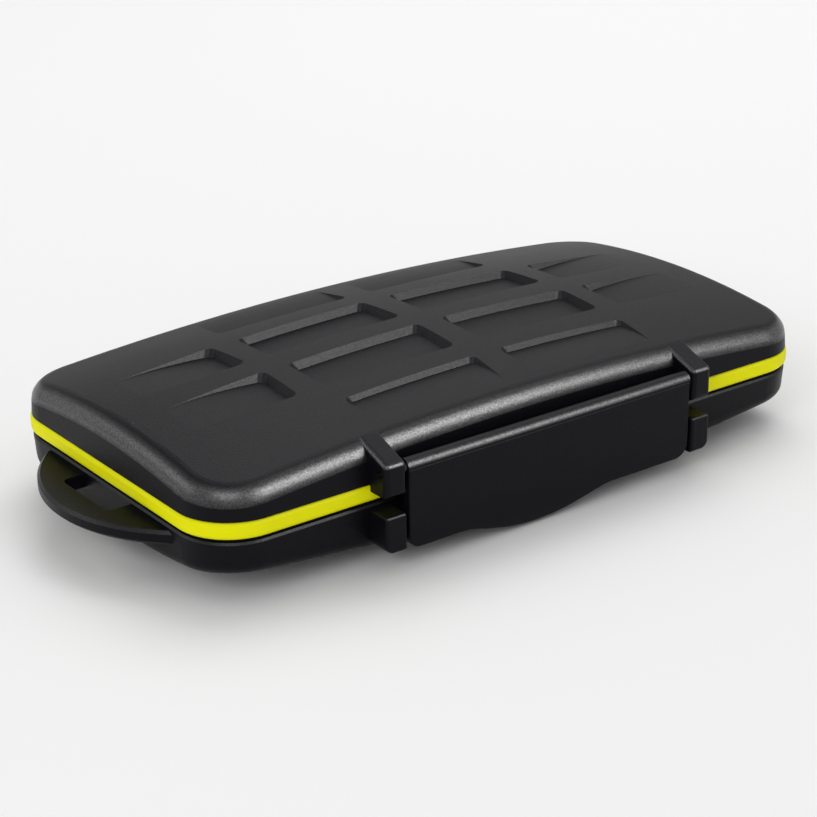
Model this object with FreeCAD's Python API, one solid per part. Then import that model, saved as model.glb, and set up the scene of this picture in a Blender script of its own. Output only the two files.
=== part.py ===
import FreeCAD, Part
import math
import os

from FreeCAD import Vector

# Memory card case: crowned lid and base, seal ring between them, front latch, rear hinges, lanyard loop.
# X runs along the front from left to right, Y from front to back, Z up. Origin: middle of the resting face.

# Case outline
case_length = 150.0
case_width = 76.6
corner_radius = 11.6

# Heights above the resting face
rim_top = 13.2
rim_land_top = 13.7
seal_low = 13.8
seal_height = 3.6
lid_top = 30.1

# Crowned lid
lid_radius_along = 680.0
lid_radius_across = 195.0
lid_draft_angle = 4.0
lid_edge_radius = 4.2
lid_wall = 2.6
lid_roof = 4.2
lid_ledge = 1.8
tongue_wall = 1.6
tongue_low = 12.7

# Recesses in the lid: two inner and two outer columns, two inner and two outer rows, no corner cells
recess_depth = 1.5
recess_wall_angle = 32.0
recess_corner_radius = 1.5
recess_column_gap = 6.4
recess_length = 32.4
recess_column_rib = 5.1
recess_row_gap = 6.2
recess_breadth = 13.1
recess_row_rib = 5.6
end_floor_radius = 157.5
end_floor_centre = 51.4
end_floor_drop = 2.51
side_floor_radius = 51.5
side_floor_centre = 25.3
side_floor_drop = 2.22

# Crowned base
base_radius_along = 560.0
base_radius_across = 185.0
base_crown_cut = 1.2
base_draft_angle = 4.0
base_edge_radius = 2.8
base_wall = 3.0
base_floor = 2.2
rim_step = 0.9
rim_bevel = 0.4

# Seal ring
seal_proud = 0.3
seal_edge_radius = 1.1

# Ears and latch on the front
ear_width = 4.8
ear_reach = 5.5
ear_root = 3.0
lid_ear_edge_radius = 1.0
base_ear_edge_radius = 0.6
lid_ear_low = 16.2
lid_ear_top = 22.7
lid_ear_rise = 3.3
base_ear_low = 4.8
base_ear_top = 12.4
base_ear_corner = 1.8
latch_length = 70.8
latch_thickness = 2.0
latch_barrel_radius = 1.7
latch_recess = 0.3
latch_pivot_height = 20.7
latch_low = 4.1
latch_corner_radius = 3.0
latch_edge_radius = 0.35
tab_length = 38.6
tab_centre = -3.6
tab_drop = 3.3
tab_shoulder_share = 0.75
tab_belly_share = 0.5
curl_start = 8.4
curl_radius = 24.0
curl_inner_radius = 28.0
nib_length = 50.0
nib_height = 2.0
nib_reach = 2.4
nib_low = 7.4
nib_tip = 0.8
nib_root = 0.4
catch_height = 1.8
catch_overhang = 2.0

# Rear hinges
hinge_from_end = 32.7
hinge_pivot_out = 3.4
hinge_pivot_height = 16.0
knuckle_radius = 2.6
knuckle_length = 9.0
hinge_arm_depth = 6.0

# Pins
pin_radius = 0.8
latch_pin_grip = 6.0
latch_pin_recess = 1.2
pin_recess = 0.3

# Lanyard loop on the left end of the base
loop_reach = 10.6
loop_chord = 47.5
loop_thickness = 2.8
loop_top = 12.3
loop_bevel = 0.6
loop_slot_length = 17.6
loop_slot_width = 4.8
loop_slot_radius = 1.5

# Tray and pad
tray_top = 12.4
pocket_columns = 4
pocket_rows = 2
card_length = 32.0
card_width = 24.0
pocket_depth = 3.0
pocket_rib = 2.0
pocket_spine = 3.6
pocket_corner_radius = 1.0
thumb_radius = 7.0
pad_low = 14.4

# Clearances
tongue_clearance = 0.3
seal_seat_clearance = 0.05
tray_clearance = 0.3
pad_clearance = 0.3
pad_roof_clearance = 0.1
card_clearance = 0.2
latch_end_clearance = 0.7
catch_clearance = 0.1
knuckle_clearance = 0.3
pin_running_clearance = 0.05
pin_seat_clearance = 0.02
ear_seal_clearance = 0.2

# Worked out from the sizes above
half_length = case_length / 2
half_width = case_width / 2
seal_top = seal_low + seal_height
front_wall = -half_width
back_wall = half_width
ear_front = front_wall - ear_reach
ear_inner = latch_length / 2 + latch_end_clearance
ear_outer = ear_inner + ear_width
latch_front = ear_front + latch_recess
latch_back = latch_front + latch_thickness
latch_pivot_y = latch_front + latch_barrel_radius
hinge_pivot_y = back_wall + hinge_pivot_out
tongue_inset = base_wall + tongue_clearance
tongue_inner_inset = tongue_inset + tongue_wall

# Helpers for cutting and joining
embed = 1.6
overrun = 1.0
reach_past = 10.0
least_corner_radius = 1.0
corner_share = 0.49
match_tolerance = 0.05


def rounded_wire(x_low, x_high, y_low, y_high, radius, z):
    """Closed rectangle with round corners, level at height z."""
    r = min(radius, corner_share * (x_high - x_low), corner_share * (y_high - y_low))
    bend = r * (1 - math.sqrt(0.5))
    corners = [
        (x_high, y_low, -1, 1),
        (x_high, y_high, -1, -1),
        (x_low, y_high, 1, -1),
        (x_low, y_low, 1, 1),
    ]
    edges = []
    last = None
    first = None
    for number, (x, y, sx, sy) in enumerate(corners):
        along_x = Vector(x + sx * r, y, z)
        along_y = Vector(x, y + sy * r, z)
        middle = Vector(x + sx * bend, y + sy * bend, z)
        start, end = (along_x, along_y) if number % 2 == 0 else (along_y, along_x)
        if last is not None:
            edges.append(Part.makeLine(last, start))
        edges.append(Part.Arc(start, middle, end).toShape())
        first = first or start
        last = end
    edges.append(Part.makeLine(last, first))
    return Part.Wire(edges)


def outline_wire(inset, z):
    """Outline of the case moved inwards by inset."""
    x = half_length - inset
    y = half_width - inset
    return rounded_wire(-x, x, -y, y, max(corner_radius - inset, least_corner_radius), z)


def outline_prism(inset, low, high):
    """Straight walled block with the case's outline."""
    return Part.Face(outline_wire(inset, low)).extrude(Vector(0, 0, high - low))


def block(x_low, x_high, y_low, y_high, z_low, z_high):
    return Part.makeBox(x_high - x_low, y_high - y_low, z_high - z_low, Vector(x_low, y_low, z_low))


def rod(radius, x_low, x_high, y, z):
    """Cylinder along X."""
    return Part.makeCylinder(radius, x_high - x_low, Vector(x_low, y, z), Vector(1, 0, 0))


def side_profile(points, x_low, x_high):
    """Outline of (y, z) points carried along X."""
    corners = [Vector(x_low, y, z) for y, z in points]
    face = Part.Face(Part.makePolygon(corners + corners[:1]))
    return face.extrude(Vector(x_high - x_low, 0, 0))


def arched_solid(peak, radius_along, radius_across, depth, off_middle=0):
    """Solid under a surface that arches along X and Y and peaks over the origin.

    One that is moved sideways by off_middle afterwards reaches just as far past the case's side.
    """
    reach_y = half_width - off_middle + reach_past
    reach_x = half_length + reach_past
    low = peak - depth
    edge_z = peak - radius_across + math.sqrt(radius_across ** 2 - reach_y ** 2)
    arc = Part.Arc(Vector(0, -reach_y, edge_z), Vector(0, 0, peak), Vector(0, reach_y, edge_z)).toShape()
    sides = Part.makePolygon([
        Vector(0, reach_y, edge_z),
        Vector(0, reach_y, low),
        Vector(0, -reach_y, low),
        Vector(0, -reach_y, edge_z),
    ])
    face = Part.Face(Part.Wire([arc] + sides.Edges))
    centre = Vector(0, 0, peak - radius_along)
    half_turn = math.degrees(math.asin(reach_x / (radius_along - depth)))
    face.rotate(centre, Vector(0, 1, 0), -half_turn)
    return face.revolve(centre, Vector(0, 1, 0), 2 * half_turn)


def outermost_face(solid, upward):
    """Face of the solid that reaches furthest up, or down."""
    sign = 1 if upward else -1
    return max(solid.Faces, key=lambda face: sign * face.CenterOfMass.z)


def lid_block(inset, drop, low):
    """Crowned block with the lid's outline, moved in by inset and down by drop."""
    taper = math.tan(math.radians(lid_draft_angle))
    high = lid_top - drop + overrun
    walls = Part.makeLoft([
        outline_wire(inset + taper * (low - seal_top), low),
        outline_wire(inset + taper * (high - seal_top), high),
    ], True, True)
    crown = arched_solid(lid_top - drop, lid_radius_along - drop, lid_radius_across - drop, lid_top)
    return walls.common(crown)


def base_block(inset, lift, high):
    """Block with the base's outline and crowned bottom, moved in by inset and up by lift."""
    taper = math.tan(math.radians(base_draft_angle))
    low = lift - base_crown_cut - overrun
    walls = Part.makeLoft([
        outline_wire(inset + taper * (rim_land_top - low), low),
        outline_wire(inset + taper * (rim_land_top - high), high),
    ], True, True)
    crown = arched_solid(base_crown_cut, base_radius_along - lift, base_radius_across - lift, lid_top)
    crown = crown.mirror(Vector(0, 0, 0), Vector(0, 0, 1))
    crown.translate(Vector(0, 0, lift))
    return walls.common(crown)


def rounded_edges(solid, radius, chosen):
    """Rounds the edges for which chosen(edge) is true."""
    return solid.makeFillet(radius, [edge for edge in solid.Edges if chosen(edge)])


def crown_height(x, y):
    """Height of the lid's crown over a point of the plan."""
    along = lid_radius_along - lid_radius_across + math.sqrt(lid_radius_across ** 2 - y ** 2)
    return lid_top - lid_radius_along + math.sqrt(along ** 2 - x ** 2)


def recess_floor(side_x, side_y, outer_column, outer_row):
    """Solid under the floor of one recess: level with the crown, or rising to meet it at an end or a side."""
    if outer_column:
        floor = arched_solid(lid_top - end_floor_drop, end_floor_radius, lid_radius_across, lid_top)
        floor.translate(Vector(side_x * end_floor_centre, 0, 0))
        return floor
    if outer_row:
        floor = arched_solid(
            lid_top - side_floor_drop, lid_radius_along, side_floor_radius, 2 * lid_top, side_floor_centre
        )
        floor.translate(Vector(0, side_y * side_floor_centre, 0))
        return floor
    return arched_solid(
        lid_top - recess_depth, lid_radius_along - recess_depth, lid_radius_across - recess_depth, lid_top
    )


def recess_cutter(side_x, side_y, outer_column, outer_row):
    """One recess: sloping walls from its rim down to its floor."""
    x_near = recess_column_gap / 2
    x_far = x_near + recess_length
    y_near = recess_row_gap / 2
    y_far = y_near + recess_breadth
    if outer_column:
        x_near = x_far + recess_column_rib
        x_far = half_length
    if outer_row:
        y_near = y_far + recess_row_rib
        y_far = half_width
    rim_x = x_near if outer_column else (x_near + x_far) / 2
    rim_y = y_near if outer_row else (y_near + y_far) / 2
    rim_height = crown_height(rim_x, rim_y)
    slope = math.tan(math.radians(recess_wall_angle))
    wires = []
    for z in (rim_height - 2 * recess_depth, lid_top + overrun):
        grow = slope * (z - rim_height)
        x_ends = sorted((side_x * (x_near - grow), side_x * (x_far + grow)))
        y_ends = sorted((side_y * (y_near - grow), side_y * (y_far + grow)))
        wires.append(rounded_wire(*x_ends, *y_ends, recess_corner_radius, z))
    cutter = Part.makeLoft(wires, True, True)
    return cutter.cut(recess_floor(side_x, side_y, outer_column, outer_row))


def recess_cutters():
    cutters = []
    for side_x in (-1, 1):
        for side_y in (-1, 1):
            cutters.append(recess_cutter(side_x, side_y, False, False))
            cutters.append(recess_cutter(side_x, side_y, False, True))
            cutters.append(recess_cutter(side_x, side_y, True, False))
    return cutters


def hinge_centres():
    return (hinge_from_end - half_length, half_length - hinge_from_end)


def knuckle(x_low, x_high):
    return rod(knuckle_radius, x_low, x_high, hinge_pivot_y, hinge_pivot_height)


def lid_hinge_arm(x):
    """Middle knuckle of one hinge, carried by an arm from the lid's back wall."""
    x_low = x - knuckle_length / 2
    x_high = x + knuckle_length / 2
    wall = back_wall - embed
    top = hinge_pivot_height + hinge_arm_depth
    arm = side_profile([
        (wall, seal_top),
        (hinge_pivot_y, seal_top),
        (hinge_pivot_y + knuckle_radius, hinge_pivot_height),
        (wall, top),
    ], x_low, x_high)
    return arm.fuse(knuckle(x_low, x_high))


def base_hinge_arms(x):
    """Two outer knuckles of one hinge, carried by arms from the base's back wall."""
    arms = []
    for side in (-1, 1):
        near = x + side * (knuckle_length / 2 + knuckle_clearance)
        far = near + side * knuckle_length
        x_low, x_high = sorted((near, far))
        wall = back_wall - embed
        arm = side_profile([
            (wall, rim_top),
            (wall, rim_top - hinge_arm_depth),
            (hinge_pivot_y + knuckle_radius, hinge_pivot_height),
            (hinge_pivot_y - knuckle_radius, hinge_pivot_height),
            (hinge_pivot_y - knuckle_radius, rim_top),
        ], x_low, x_high)
        arms.append(arm.fuse(knuckle(x_low, x_high)))
    return arms


def hinge_pin(x):
    reach = 1.5 * knuckle_length + knuckle_clearance - pin_recess
    return rod(pin_radius, x - reach, x + reach, hinge_pivot_y, hinge_pivot_height)


def hinge_bores(radius):
    reach = half_length
    return rod(radius, -reach, reach, hinge_pivot_y, hinge_pivot_height)


def ear_ends(side):
    return sorted((side * ear_inner, side * ear_outer))


def on_ear_front(edge):
    return abs(edge.CenterOfMass.y - ear_front) < match_tolerance


def lid_ear(side):
    """Front ear on the lid: it hangs past the seal, clear of it, and its top slopes up to the lid's edge."""
    x_low, x_high = ear_ends(side)
    inside = front_wall + ear_root
    clear_of_seal = front_wall - seal_proud - ear_seal_clearance
    ear = side_profile([
        (ear_front, lid_ear_low),
        (clear_of_seal, lid_ear_low),
        (clear_of_seal, seal_top),
        (inside, seal_top),
        (inside, lid_ear_top + lid_ear_rise),
        (ear_front, lid_ear_top),
    ], x_low, x_high)

    def shown(edge):
        middle = edge.CenterOfMass
        return on_ear_front(edge) or (middle.z > lid_ear_top and middle.y < front_wall)

    return rounded_edges(ear, lid_ear_edge_radius, shown)


def base_ear(side):
    """Front ear on the base, with its outer lower corner rounded off."""
    x_low, x_high = ear_ends(side)
    inside = front_wall + base_wall
    ear = block(x_low, x_high, ear_front, inside, base_ear_low, base_ear_top)
    outer = side * ear_outer

    def lower_corner(edge):
        middle = edge.CenterOfMass
        return abs(middle.x - outer) < match_tolerance and abs(middle.z - base_ear_low) < match_tolerance

    def shown(edge):
        middle = edge.CenterOfMass
        on_top = abs(middle.z - base_ear_top) < match_tolerance
        return on_ear_front(edge) or (on_top and middle.y < front_wall)

    ear = rounded_edges(ear, base_ear_corner, lower_corner)
    return rounded_edges(ear, base_ear_edge_radius, shown)


def latch_pin(side):
    near = side * (ear_inner - latch_end_clearance - latch_pin_grip + pin_recess)
    far = side * (ear_outer - latch_pin_recess)
    x_low, x_high = sorted((near, far))
    return rod(pin_radius, x_low, x_high, latch_pivot_y, latch_pivot_height)


def catch_rail():
    """Rail on the base's front wall, just behind the latch's nib."""
    half = nib_length / 2 + catch_overhang
    front = latch_back + nib_reach + catch_clearance
    inside = front_wall + embed
    low = nib_low + nib_height
    return side_profile([
        (front, low),
        (inside, low),
        (inside, low + catch_height + nib_height),
        (front, low + catch_height),
    ], -half, half)


def lanyard_loop():
    """Bow shaped bar on the left end, with a slot between it and the wall."""
    radius = (loop_reach ** 2 + (loop_chord / 2) ** 2) / (2 * loop_reach)
    low = loop_top - loop_thickness
    centre_x = -half_length - loop_reach + radius
    disc = Part.makeCylinder(radius, loop_thickness, Vector(centre_x, 0, low))
    end = -half_length - loop_reach - overrun
    side = block(end, -half_length + embed, -loop_chord, loop_chord, low, loop_top)
    bow = disc.common(side)
    slot = Part.Face(rounded_wire(
        -half_length - loop_slot_width,
        -half_length + loop_slot_radius + embed,
        -loop_slot_length / 2,
        loop_slot_length / 2,
        loop_slot_radius,
        low,
    )).extrude(Vector(0, 0, loop_thickness))
    bow = bow.cut(slot)
    outside = -half_length - loop_reach + loop_bevel
    rim = [edge for edge in bow.Edges if flat_edge(edge) and edge.BoundBox.XMin < outside]
    return bow.makeChamfer(loop_bevel, rim)


def flat_edge(edge):
    return edge.BoundBox.ZLength < match_tolerance


def make_base_shell():
    shell = base_block(0, 0, rim_land_top)
    shell = shell.makeFillet(base_edge_radius, outermost_face(shell, False).Edges)
    shell = shell.common(outline_prism(-reach_past, 0, rim_top))
    shell = shell.makeChamfer(rim_bevel, outermost_face(shell, True).Edges)
    land = outline_prism(rim_step, rim_top - overrun, rim_land_top)
    solids = [land] + [base_ear(side) for side in (-1, 1)]
    solids += [catch_rail(), lanyard_loop()]
    for x in hinge_centres():
        solids += base_hinge_arms(x)
    shell = shell.fuse(solids)
    cavity = base_block(base_wall, base_floor, rim_land_top + overrun)
    return shell.cut([cavity, hinge_bores(pin_radius + pin_seat_clearance)])


def make_lid_shell():
    shell = lid_block(0, 0, seal_top)
    shell = shell.makeFillet(lid_edge_radius, outermost_face(shell, True).Edges)
    solids = [outline_prism(tongue_inset, tongue_low, seal_top + lid_ledge)]
    solids += [lid_ear(side) for side in (-1, 1)]
    solids += [lid_hinge_arm(x) for x in hinge_centres()]
    shell = shell.fuse(solids)
    upper = lid_block(lid_wall, lid_roof, seal_top + lid_ledge)
    lower = outline_prism(tongue_inner_inset, tongue_low, seal_top + lid_ledge)
    pivot = rod(pin_radius + pin_seat_clearance, -half_length, half_length, latch_pivot_y, latch_pivot_height)
    cuts = [upper, lower, pivot, hinge_bores(pin_radius + pin_running_clearance)]
    return shell.cut(cuts).cut(recess_cutters())


def make_lid_seal():
    ring = outline_prism(-seal_proud, seal_low, seal_top)
    outer = [edge for edge in ring.Edges if flat_edge(edge)]
    ring = ring.makeFillet(seal_edge_radius, outer)
    return ring.cut(outline_prism(tongue_inset - seal_seat_clearance, seal_low, seal_top))


def latch_outline_half(side):
    """One half of the latch's front view, from the middle of its top to its finger tab's lowest point."""
    half = latch_length / 2
    r = latch_corner_radius
    bend = r * (1 - math.sqrt(0.5))
    top = latch_pivot_height
    centre = side * tab_centre
    tab_low = latch_low - tab_drop
    tab_end = centre + tab_length / 2
    shoulder = centre + tab_shoulder_share * tab_length / 2
    belly = centre + tab_belly_share * tab_length / 2

    def at(x, z):
        return Vector(side * x, latch_front - overrun, z)

    tab = Part.BezierCurve()
    tab.setPoles([at(tab_end, latch_low), at(shoulder, latch_low), at(belly, tab_low), at(centre, tab_low)])
    corner = Part.Arc(at(half, latch_low + r), at(half - bend, latch_low + bend), at(half - r, latch_low))
    return [
        Part.makeLine(at(0, top), at(half, top)),
        Part.makeLine(at(half, top), at(half, latch_low + r)),
        corner.toShape(),
        Part.makeLine(at(half - r, latch_low), at(tab_end, latch_low)),
        tab.toShape(),
    ]


def latch_outline():
    """Front view of the latch's plate: round lower corners and a finger tab between smooth bends."""
    return Part.Wire(Part.__sortEdges__(latch_outline_half(1) + latch_outline_half(-1)))


def on_latch_rim(edge):
    """Whether an edge runs along the rim of the latch's front face, below its barrel."""
    middle = edge.valueAt((edge.FirstParameter + edge.LastParameter) / 2)
    sink = max(curl_start - middle.z, 0)
    face_y = latch_front + curl_radius - math.sqrt(curl_radius ** 2 - sink ** 2)
    along_x = edge.BoundBox.XLength > latch_length - latch_corner_radius
    return abs(middle.y - face_y) < match_tolerance and not along_x


def latch_plate():
    """Plate that hangs from the pivot and curls in towards the base, cut to its front view."""
    low = latch_low - tab_drop - overrun
    top = latch_pivot_height

    def curl(face_y, radius):
        """Lower arc of one face of the plate and where it ends."""
        sink = curl_start - low
        half_angle = math.asin(sink / radius) / 2
        middle_z = curl_start - radius * math.sin(half_angle)
        middle = Vector(0, face_y + radius * (1 - math.cos(half_angle)), middle_z)
        end = Vector(0, face_y + radius * (1 - math.cos(2 * half_angle)), low)
        return Part.Arc(Vector(0, face_y, curl_start), middle, end).toShape(), end

    outer, outer_end = curl(latch_front, curl_radius)
    inner, inner_end = curl(latch_back, curl_inner_radius)
    edges = [
        Part.makeLine(Vector(0, latch_front, top), Vector(0, latch_front, curl_start)),
        outer,
        Part.makeLine(outer_end, inner_end),
        inner,
        Part.makeLine(Vector(0, latch_back, curl_start), Vector(0, latch_back, top)),
        Part.makeLine(Vector(0, latch_back, top), Vector(0, latch_front, top)),
    ]
    plate = Part.Face(Part.Wire(Part.__sortEdges__(edges))).extrude(Vector(latch_length, 0, 0))
    plate.translate(Vector(-latch_length / 2, 0, 0))
    front_view = Part.Face(latch_outline()).extrude(Vector(0, ear_reach + overrun, 0))
    plate = plate.common(front_view)
    return rounded_edges(plate, latch_edge_radius, on_latch_rim)


def make_front_latch():
    half = latch_length / 2
    barrel = rod(latch_barrel_radius, -half, half, latch_pivot_y, latch_pivot_height)
    nib_top = nib_low + nib_height
    nib = side_profile([
        (latch_back - nib_root, nib_low),
        (latch_back + nib_reach, nib_top - nib_tip),
        (latch_back + nib_reach, nib_top),
        (latch_back - nib_root, nib_top),
    ], -nib_length / 2, nib_length / 2)
    latch = latch_plate().fuse([barrel, nib])
    bore = pin_radius + pin_running_clearance
    for side in (-1, 1):
        x_low, x_high = sorted((side * half, side * (half - latch_pin_grip)))
        latch = latch.cut(rod(bore, x_low, x_high, latch_pivot_y, latch_pivot_height))
    return latch


def make_base_tray():
    """Soft insert: rows of card pockets on both sides of a spine, each with a thumb notch on its outside."""
    tray = base_block(base_wall + tray_clearance, base_floor + tray_clearance, tray_top)
    long_side = card_length + 2 * card_clearance
    short_side = card_width + 2 * card_clearance
    pitch_x = long_side + pocket_rib
    pitch_y = short_side + pocket_spine
    floor = tray_top - pocket_depth
    cuts = []
    for column in range(pocket_columns):
        x = (column - (pocket_columns - 1) / 2) * pitch_x
        for row in range(pocket_rows):
            y = (row - (pocket_rows - 1) / 2) * pitch_y
            wire = rounded_wire(x - long_side / 2, x + long_side / 2, y - short_side / 2, y + short_side / 2,
                                pocket_corner_radius, floor)
            pocket = Part.Face(wire).extrude(Vector(0, 0, pocket_depth))
            outer_side = y + math.copysign(short_side / 2, y)
            thumb = Part.makeCylinder(thumb_radius, pocket_depth, Vector(x, outer_side, floor))
            cuts.append(pocket.fuse(thumb))
    return tray.cut(cuts)


def make_lid_pad():
    return lid_block(tongue_inner_inset + pad_clearance, lid_roof + pad_roof_clearance, pad_low)


def export_all():
    os.makedirs("parts", exist_ok=True)
    left, right = hinge_centres()
    pieces = {
        "base_shell": make_base_shell(),
        "base_tray": make_base_tray(),
        "hinge_pin_left": hinge_pin(left),
        "hinge_pin_right": hinge_pin(right),
        "lid_shell": make_lid_shell(),
        "lid_seal": make_lid_seal(),
        "lid_pad": make_lid_pad(),
        "front_latch": make_front_latch(),
        "latch_pin_left": latch_pin(-1),
        "latch_pin_right": latch_pin(1),
    }
    for name, shape in pieces.items():
        shape = shape.removeSplitter()
        print(name, shape.isValid(), len(shape.Solids), round(shape.Volume, 1))
        shape.exportStep("parts/" + name + ".step")


export_all()
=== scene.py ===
import math

import bmesh
import bpy
from mathutils import Matrix, Vector


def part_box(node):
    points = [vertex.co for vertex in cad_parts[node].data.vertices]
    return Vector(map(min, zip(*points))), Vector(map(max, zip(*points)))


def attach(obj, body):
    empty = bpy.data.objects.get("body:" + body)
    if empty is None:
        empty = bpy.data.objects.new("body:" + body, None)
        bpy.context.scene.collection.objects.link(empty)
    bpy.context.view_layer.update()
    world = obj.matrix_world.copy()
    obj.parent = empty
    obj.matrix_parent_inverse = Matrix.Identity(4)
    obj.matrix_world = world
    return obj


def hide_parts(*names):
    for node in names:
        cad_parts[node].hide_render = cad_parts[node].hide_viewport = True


# Memory card case: finishes, foam inserts, camera and studio. Lengths are in metres, lamps in watts.

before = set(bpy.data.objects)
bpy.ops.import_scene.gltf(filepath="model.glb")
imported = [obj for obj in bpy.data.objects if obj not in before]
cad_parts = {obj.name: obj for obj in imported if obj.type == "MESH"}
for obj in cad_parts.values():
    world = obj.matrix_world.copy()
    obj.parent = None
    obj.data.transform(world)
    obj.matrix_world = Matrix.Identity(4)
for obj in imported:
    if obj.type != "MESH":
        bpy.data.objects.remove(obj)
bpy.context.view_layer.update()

scene = bpy.context.scene
scene.view_settings.view_transform = "Standard"
MM = 0.001

# Hands rub the black plastic smooth on its rounded edges, which are neither level faces nor walls.
# Uprightness is 1 on a level face and 0 on a wall. A fade is how fast the rub sets in past each limit.
LEVEL_UPRIGHTNESS = 0.91
LEVEL_FADE = 5.0
WALL_UPRIGHTNESS = 0.10
WALL_FADE = 6.0

# Share of the rub that reaches the base's edges and the two kinds of recess wall
BASE_RUB = 0.25
END_WALL_RUB = 0.10
LONG_WALL_RUB = 0.20

# The lid's recesses lie above this height and this far inside the seal's outline
LOWEST_RECESS = 22.0 * MM
RECESS_END_INSET = 6.3 * MM
RECESS_SIDE_INSET = 4.2 * MM

# Foam inserts
MERGE_DISTANCE = 0.004 * MM
LEVEL_TOLERANCE = 0.05 * MM
FLAT_ANGLE = math.radians(0.5)
SHARP_ANGLE = math.radians(40.0)
FACES_DOWN = -0.9
POCKET_RIM_ROUND = 0.6 * MM
CARD_PITCH = 34.4 * MM
SEAM_WIDTH = 1.5 * MM
SEAM_DEPTH = 1.4 * MM
CUSHION_SHOULDER = 2.0 * MM

# Studio
FLOOR_REACH = 6.0
ROOM_STRENGTH = 0.66
CASE_MIDDLE = (0.0, 0.0, 0.02)
CASE_LEFT_HALF = (-0.05, 0.0, 0.015)


class Finish:
    """One output of a material's nodes. Sums and products of finishes add Math nodes."""

    def __init__(self, tree, socket=None):
        self.tree = tree
        self.socket = socket

    def node(self, kind, settings=None, inputs=None, output=0):
        """New node with these settings and these values or links on its sockets."""
        made = self.tree.nodes.new(kind)
        for name, value in (settings or {}).items():
            setattr(made, name, value)
        for name, value in (inputs or {}).items():
            if isinstance(value, Finish):
                self.tree.links.new(value.socket, made.inputs[name])
            else:
                made.inputs[name].default_value = value
        return Finish(self.tree, made.outputs[output] if made.outputs else None)

    def math(self, operation, first, second):
        """Math node of two values."""
        return self.node("ShaderNodeMath", {"operation": operation}, {0: first, 1: second})

    def __add__(self, other):
        return self.math("ADD", self, other)

    def __radd__(self, other):
        return self.math("ADD", other, self)

    def __sub__(self, other):
        return self.math("SUBTRACT", self, other)

    def __rsub__(self, other):
        return self.math("SUBTRACT", other, self)

    def __mul__(self, other):
        return self.math("MULTIPLY", self, other)

    def __rmul__(self, other):
        return self.math("MULTIPLY", other, self)

    def __abs__(self):
        return self.node("ShaderNodeMath", {"operation": "ABSOLUTE"}, {0: self})


def new_material(name):
    """An empty material and the start of its nodes."""
    material = bpy.data.materials.new(name)
    material.use_nodes = True
    material.node_tree.nodes.clear()
    return material, Finish(material.node_tree)


def surface(start, sockets):
    """Gives the material one Principled shader with these sockets."""
    shader = start.node("ShaderNodeBsdfPrincipled", None, sockets)
    start.node("ShaderNodeOutputMaterial", None, {"Surface": shader})


def place(start):
    """Position on the piece."""
    return start.node("ShaderNodeTexCoord", None, None, "Object")


def facing(start):
    """Direction that the surface of the piece faces."""
    return start.node("ShaderNodeTexCoord", None, None, "Normal")


def axes_of(start, vector):
    """The three numbers of a vector."""
    parts = start.node("ShaderNodeSeparateXYZ", None, {"Vector": vector}).socket.node.outputs
    return [Finish(start.tree, part) for part in parts]


def grain(start, per_metre, detail=2.0, roughness=0.5):
    """Noise from 0 to 1, with about per_metre grains to the metre."""
    return start.node(
        "ShaderNodeTexNoise",
        None,
        {"Vector": place(start), "Scale": per_metre, "Detail": detail, "Roughness": roughness},
    )


def two_tone(start, amount, dark, light):
    """Colour between dark and light by amount."""
    # The Mix node uses each socket name for several kinds of data, so its colours go by number
    factor, first_colour, second_colour, mixed_colour = 0, 6, 7, 2
    return start.node(
        "ShaderNodeMix",
        {"data_type": "RGBA"},
        {factor: amount, first_colour: (*dark, 1.0), second_colour: (*light, 1.0)},
        mixed_colour,
    )


def bumped(start, height, depth, strength=1.0):
    """Surface direction over bumps of this height and depth."""
    return start.node("ShaderNodeBump", None, {"Height": height, "Distance": depth, "Strength": strength})


def ramp(start, amount, slope):
    """amount times slope, held between 0 and 1."""
    return start.node("ShaderNodeMath", {"operation": "MULTIPLY", "use_clamp": True}, {0: amount, 1: slope})


def edge_polish(start):
    """How smooth hands have rubbed the plastic: 1 on the lid's rounded edges, 0 on level faces and walls.

    The base's edges and the sloping walls of the lid's recesses are sheltered and only rubbed a little.
    """
    seal_low, seal_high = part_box("lid_seal")
    x, y, z = axes_of(start, place(start))
    endways, sideways, upright = axes_of(start, facing(start))
    off_level = ramp(start, LEVEL_UPRIGHTNESS - upright, LEVEL_FADE)
    off_wall = ramp(start, upright - WALL_UPRIGHTNESS, WALL_FADE)
    on_base = start.math("LESS_THAN", z, (seal_low.z + seal_high.z) / 2)
    on_top = start.math("GREATER_THAN", z, LOWEST_RECESS)
    in_length = start.math("LESS_THAN", abs(x), seal_high.x - RECESS_END_INSET)
    in_width = start.math("LESS_THAN", abs(y), seal_high.y - RECESS_SIDE_INSET)
    wall_rub = END_WALL_RUB * abs(endways) + LONG_WALL_RUB * abs(sideways)
    kept_by_recess = on_top * in_length * in_width * (1.0 - wall_rub)
    kept_by_base = (1.0 - BASE_RUB) * on_base
    return off_level * off_wall * (1.0 - kept_by_base) * (1.0 - kept_by_recess)


def moulded_plastic(name, dark, light, pit_depth, polish):
    """Black plastic from a spark eroded mould: fine pits that scatter the highlights, and rubbed edges."""
    material, start = new_material(name)
    pits = grain(start, per_metre=3200.0, roughness=0.6)
    cloud = grain(start, per_metre=60.0, detail=3.0)
    pit_swing = pits - 0.5
    cloud_swing = cloud - 0.5
    surface(start, {
        "Base Color": two_tone(start, cloud, dark, light),
        "Roughness": 0.36 + 0.10 * pit_swing + 0.06 * cloud_swing,
        "Specular IOR Level": 0.09,
        "Normal": bumped(start, pits, pit_depth),
        "Coat Weight": polish * edge_polish(start) * (1.0 + 2.6 * pit_swing),
        "Coat Roughness": 0.36,
        "Coat IOR": 1.8,
    })
    return material


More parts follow.
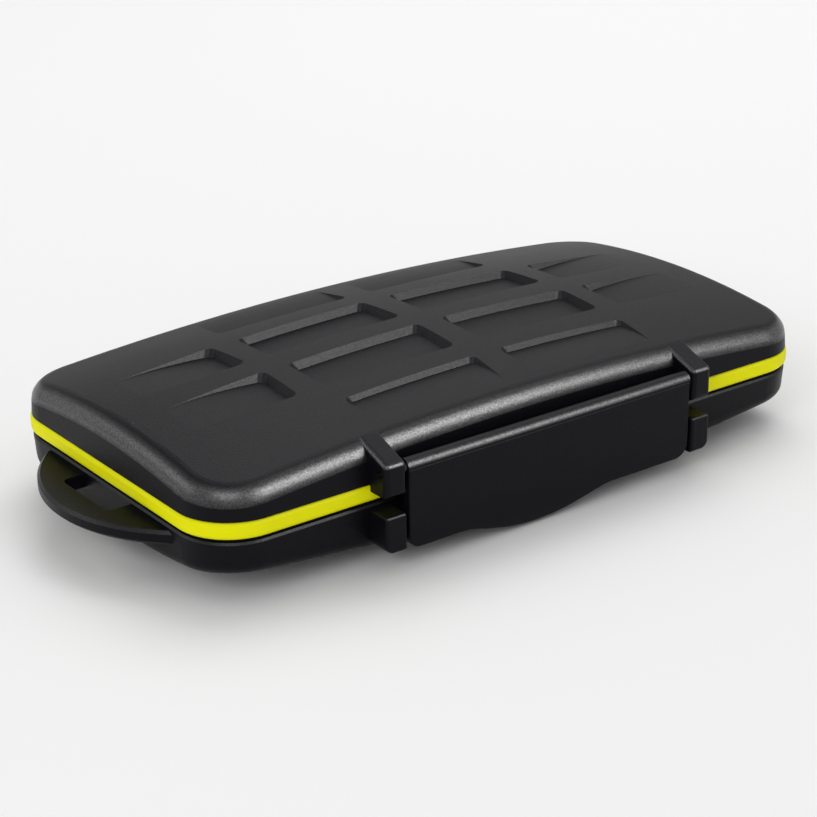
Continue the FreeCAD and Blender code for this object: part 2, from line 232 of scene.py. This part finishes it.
def seal_rubber():
    """Smooth yellow rubber with a faint powdery bloom."""
    material, start = new_material("seal_rubber")
    bloom = grain(start, per_metre=900.0, detail=3.0)
    patch = grain(start, per_metre=45.0)
    surface(start, {
        "Base Color": two_tone(start, patch, dark=(0.765, 0.756, 0.003), light=(0.855, 0.845, 0.005)),
        "Roughness": 0.46 + 0.14 * (bloom - 0.5),
        "Specular IOR Level": 0.05,
        "Normal": bumped(start, bloom, 0.02 * MM, 0.4),
    })
    return material


def drawn_steel():
    """Pin wire with fine lines along its length."""
    material, start = new_material("pin_steel")
    along = start.node("ShaderNodeMapping", None, {"Vector": place(start), "Scale": (40.0, 2600.0, 2600.0)})
    lines = start.node("ShaderNodeTexNoise", None, {"Vector": along, "Scale": 1.0, "Detail": 2.0})
    surface(start, {
        "Base Color": two_tone(start, lines, dark=(0.42, 0.42, 0.44), light=(0.60, 0.60, 0.62)),
        "Metallic": 1.0,
        "Roughness": 0.26 + 0.16 * lines,
        "Normal": bumped(start, lines, 0.01 * MM, 0.5),
    })
    return material


def cell_foam(name, dark, light, cells_per_metre, cell_depth):
    """Dark foam: round cells cut open at the surface."""
    material, start = new_material(name)
    cells = start.node(
        "ShaderNodeTexVoronoi",
        {"feature": "F1"},
        {"Vector": place(start), "Scale": cells_per_metre, "Randomness": 1.0},
    )
    uneven = grain(start, per_metre=70.0, detail=3.0)
    mottle = 0.6 * cells + 0.4 * uneven
    surface(start, {
        "Base Color": two_tone(start, mottle, dark, light),
        "Roughness": 0.82 + 0.14 * (uneven - 0.5),
        "Specular IOR Level": 0.2,
        "Normal": bumped(start, cells, cell_depth, 0.7),
    })
    return material


case_plastic = moulded_plastic(
    "case_plastic",
    dark=(0.0030, 0.0031, 0.0048),
    light=(0.0041, 0.0042, 0.0062),
    pit_depth=0.07 * MM,
    polish=0.75,
)
latch_plastic = moulded_plastic(
    "latch_plastic",
    dark=(0.0026, 0.0027, 0.0043),
    light=(0.0036, 0.0037, 0.0055),
    pit_depth=0.06 * MM,
    polish=0.52,
)
tray_foam = cell_foam(
    "tray_foam",
    dark=(0.016, 0.016, 0.018),
    light=(0.050, 0.050, 0.053),
    cells_per_metre=2200.0,
    cell_depth=0.08 * MM,
)
pad_foam = cell_foam(
    "pad_foam",
    dark=(0.020, 0.020, 0.022),
    light=(0.078, 0.078, 0.083),
    cells_per_metre=1300.0,
    cell_depth=0.16 * MM,
)
rubber = seal_rubber()
steel = drawn_steel()

node_finish = {
    "base_shell": case_plastic,
    "lid_shell": case_plastic,
    "front_latch": latch_plastic,
    "lid_seal": rubber,
    "hinge_pin_left": steel,
    "hinge_pin_right": steel,
    "latch_pin_left": steel,
    "latch_pin_right": steel,
}
for node_name, finish in node_finish.items():
    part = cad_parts[node_name]
    part.data.materials.clear()
    part.data.materials.append(finish)


def piece_from(form, name, finish):
    """Object of a finished bmesh, smooth but for its sharp edges."""
    mesh = bpy.data.meshes.new(name)
    form.to_mesh(mesh)
    form.free()
    mesh.shade_smooth()
    mesh.set_sharp_from_angle(angle=SHARP_ANGLE)
    mesh.materials.append(finish)
    made = bpy.data.objects.new(name, mesh)
    scene.collection.objects.link(made)
    return made


def joined_copy(node_name):
    """Copy of a node's mesh with its triangles joined and its flat faces made whole."""
    form = bmesh.new()
    form.from_mesh(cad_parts[node_name].data)
    bmesh.ops.remove_doubles(form, verts=form.verts, dist=MERGE_DISTANCE)
    bmesh.ops.dissolve_limit(form, angle_limit=FLAT_ANGLE, verts=form.verts, edges=form.edges)
    return form


def sharp_edges_at(form, height):
    """Sharp edges that lie level at one height."""
    return [
        edge for edge in form.edges
        if all(abs(vert.co.z - height) < LEVEL_TOLERANCE for vert in edge.verts)
        and edge.calc_face_angle(0.0) > SHARP_ANGLE
    ]


def card_tray():
    """Foam tray with softly rounded pocket rims."""
    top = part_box("base_tray")[1].z
    form = joined_copy("base_tray")
    bmesh.ops.bevel(
        form,
        geom=sharp_edges_at(form, top),
        offset=POCKET_RIM_ROUND,
        segments=3,
        profile=0.5,
        affect="EDGES",
        material=-1,
        clamp_overlap=False,
    )
    tray = piece_from(form, "card_tray", tray_foam)
    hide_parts("base_tray")
    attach(tray, "base")


def hold_down_pad():
    """Foam pad in the lid, pressed into a cushion over each card."""
    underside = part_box("lid_pad")[0].z
    form = joined_copy("lid_pad")
    seam_lines = [((column * CARD_PITCH, 0.0, 0.0), (1.0, 0.0, 0.0)) for column in (-1, 0, 1)]
    seam_lines.append(((0.0, 0.0, 0.0), (0.0, 1.0, 0.0)))
    for point, across in seam_lines:
        everything = form.verts[:] + form.edges[:] + form.faces[:]
        bmesh.ops.bisect_plane(form, geom=everything, plane_co=point, plane_no=across)
    cushions = [
        face for face in form.faces
        if face.normal.z < FACES_DOWN and face.calc_center_median().z < underside + LEVEL_TOLERANCE
    ]
    seams = {vert for face in cushions for vert in face.verts}
    bmesh.ops.inset_individual(form, faces=cushions, thickness=SEAM_WIDTH, depth=0.0)
    bmesh.ops.translate(form, verts=list(seams), vec=(0.0, 0.0, SEAM_DEPTH))
    bmesh.ops.inset_individual(form, faces=cushions, thickness=CUSHION_SHOULDER, depth=0.0)
    pad = piece_from(form, "hold_down_pad", pad_foam)
    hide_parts("lid_pad")
    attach(pad, "lid")


def make_camera():
    """Camera from the front left, a little above the lid."""
    camera = bpy.data.cameras.new("camera")
    camera.sensor_width = 36.0
    camera.lens = 95.0
    camera.clip_start = 0.01
    camera.clip_end = 50.0
    stand = (-0.25016, -0.33412, 0.18377)
    azimuth = math.radians(36.4603)
    elevation = math.radians(22.6482)
    roll = math.radians(-0.6361)
    back = Vector((
        -math.sin(azimuth) * math.cos(elevation),
        -math.cos(azimuth) * math.cos(elevation),
        math.sin(elevation),
    ))
    level = Vector((math.cos(azimuth), -math.sin(azimuth), 0.0))
    upright = back.cross(level)
    right = math.cos(roll) * level + math.sin(roll) * upright
    up = -math.sin(roll) * level + math.cos(roll) * upright
    turn = Matrix((right, up, back)).transposed().to_4x4()
    camera_object = bpy.data.objects.new("camera", camera)
    camera_object.matrix_world = Matrix.Translation(stand) @ turn
    scene.collection.objects.link(camera_object)
    scene.camera = camera_object


def make_floor():
    """Wide pale floor under the case."""
    material, start = new_material("studio_floor")
    surface(start, {
        "Base Color": (0.90, 0.90, 0.90, 1.0),
        "Roughness": 0.9,
        "Specular IOR Level": 0.0,
    })
    mesh = bpy.data.meshes.new("studio_floor")
    plane = bmesh.new()
    bmesh.ops.create_grid(plane, x_segments=1, y_segments=1, size=FLOOR_REACH)
    plane.to_mesh(mesh)
    plane.free()
    mesh.materials.append(material)
    floor = bpy.data.objects.new("studio_floor", mesh)
    scene.collection.objects.link(floor)


def make_room():
    """Even white light from all round."""
    world = bpy.data.worlds.new("studio_room")
    world.use_nodes = True
    background = world.node_tree.nodes["Background"]
    background.inputs["Color"].default_value = (1.0, 1.0, 1.0, 1.0)
    background.inputs["Strength"].default_value = ROOM_STRENGTH
    scene.world = world


def softbox(name, stand, aim, wide, deep, power):
    """Soft rectangular lamp at stand that shines at aim."""
    lamp = bpy.data.lights.new(name, "AREA")
    lamp.shape = "RECTANGLE"
    lamp.size = wide
    lamp.size_y = deep
    lamp.energy = power
    lamp_object = bpy.data.objects.new(name, lamp)
    lamp_object.location = stand
    lamp_object.rotation_euler = (Vector(aim) - Vector(stand)).to_track_quat("-Z", "Y").to_euler()
    scene.collection.objects.link(lamp_object)
    return lamp_object


def make_lamps():
    """Overhead softbox, a fill that leaves no highlight, and panels that show only as highlights."""
    softbox("overhead_softbox", (0.42, 0.34, 0.88), CASE_MIDDLE, wide=0.80, deep=0.70, power=3.6)
    fill = softbox("side_fill", (-0.90, -0.50, 0.60), CASE_LEFT_HALF, wide=0.50, deep=0.50, power=3.0)
    fill.visible_glossy = False
    panels = [
        softbox("key_panel", (0.37, -0.67, 0.48), CASE_MIDDLE, wide=0.42, deep=0.52, power=6.8),
        softbox("corner_panel", (-0.47, -0.47, 0.68), CASE_MIDDLE, wide=0.50, deep=0.40, power=2.5),
        softbox("back_panel", (-0.65, 0.44, 0.42), CASE_MIDDLE, wide=0.45, deep=0.35, power=0.8),
        softbox("far_panel", (0.47, 0.63, 0.63), CASE_MIDDLE, wide=0.60, deep=0.40, power=0.3),
    ]
    for panel in panels:
        panel.visible_diffuse = False


card_tray()
hold_down_pad()
make_camera()
make_floor()
make_room()
make_lamps()
